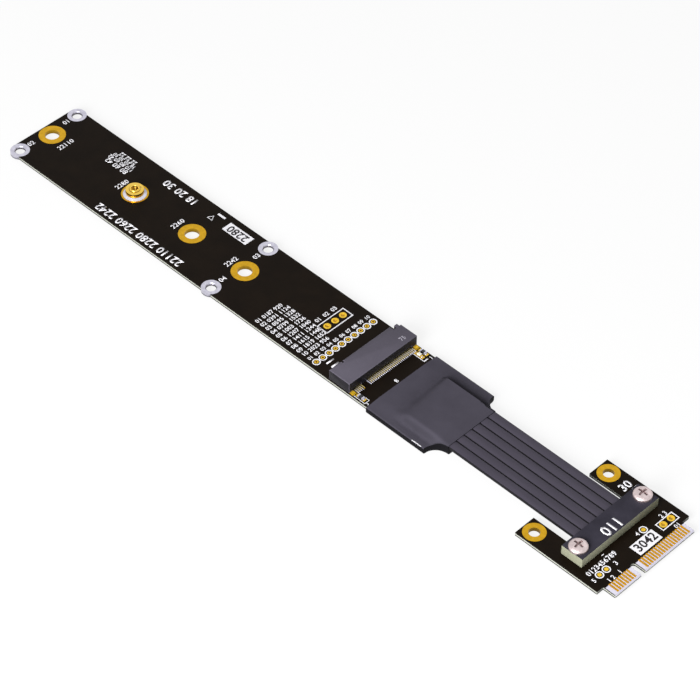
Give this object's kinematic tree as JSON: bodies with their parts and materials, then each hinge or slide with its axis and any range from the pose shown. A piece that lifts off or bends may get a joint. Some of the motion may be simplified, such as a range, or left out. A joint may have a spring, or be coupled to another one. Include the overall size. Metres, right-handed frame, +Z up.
{
  "type": "gumstick ssd extension cable",
  "caption": "Flat cable that brings a gumstick drive out of a mini card slot: long carrier board with edge socket, sleeve, ribbon of strips, clamp bar and edge card.",
  "frame": {"origin": "middle of the footprint, on the table that the object lies on", "axes": "+X along the cable from the drive board to the mini card, +Y across the boards, +Z up"},
  "size_m": [0.1974, 0.03, 0.0056],
  "materials": {
    "black_laminate": "black solder mask on glass laminate, satin",
    "gold_plate": "gold over nickel on copper",
    "bright_nickel": "bright nickel plate",
    "turned_brass": "turned brass, lightly gilt",
    "solder": "bright tin solder",
    "socket_plastic": "moulded glass-filled nylon, dark grey",
    "spring_metal": "gold-flashed spring bronze",
    "sleeve_rubber": "moulded soft rubber, dark grey",
    "cable_jacket": "extruded soft PVC, dark grey",
    "tinned_copper": "tinned copper",
    "chip_body": "glazed black chip",
    "lamp_lens": "cast clear-white resin",
    "bar_laminate": "glass laminate, bare olive edges and a black top",
    "screw_steel": "nickel-plated steel"
  },
  "bodies": {
    "root": {"carrier_board": "black_laminate", "fixing_hole_rings": "gold_plate", "header_hole_rings": "gold_plate", "board_test_pads": "gold_plate", "edge_nuts": "bright_nickel", "standoff": "turned_brass", "standoff_solder": "solder", "standoff_nut": "turned_brass", "socket_housing": "socket_plastic", "socket_rear_contacts": "spring_metal", "socket_front_contacts": "spring_metal", "socket_solder_pads": "gold_plate", "socket_hold_downs": "gold_plate", "hold_down_pads": "gold_plate", "chip_resistors": "chip_body", "chip_resistor_caps": "solder", "chip_pads": "gold_plate", "status_lamp_base": "gold_plate", "status_lamp_lens": "lamp_lens", "sleeve": "sleeve_rubber", "board_end_cores": "tinned_copper", "card_end_cores": "tinned_copper", "board_joint_pads": "gold_plate", "card_joint_pads": "gold_plate", "mini_card": "black_laminate", "card_hole_rings": "gold_plate", "card_header_rings": "gold_plate", "card_test_pads": "gold_plate", "card_top_fingers": "gold_plate", "card_bottom_fingers": "gold_plate", "clamp_bar": "bar_laminate", "clamp_screws": "screw_steel", "clinch_nuts": "screw_steel", "cable_strip_1": "cable_jacket", "cable_strip_2": "cable_jacket", "cable_strip_3": "cable_jacket", "cable_strip_4": "cable_jacket", "cable_strip_5": "cable_jacket", "cable_strip_6": "cable_jacket"}
  },
  "joints": []
}
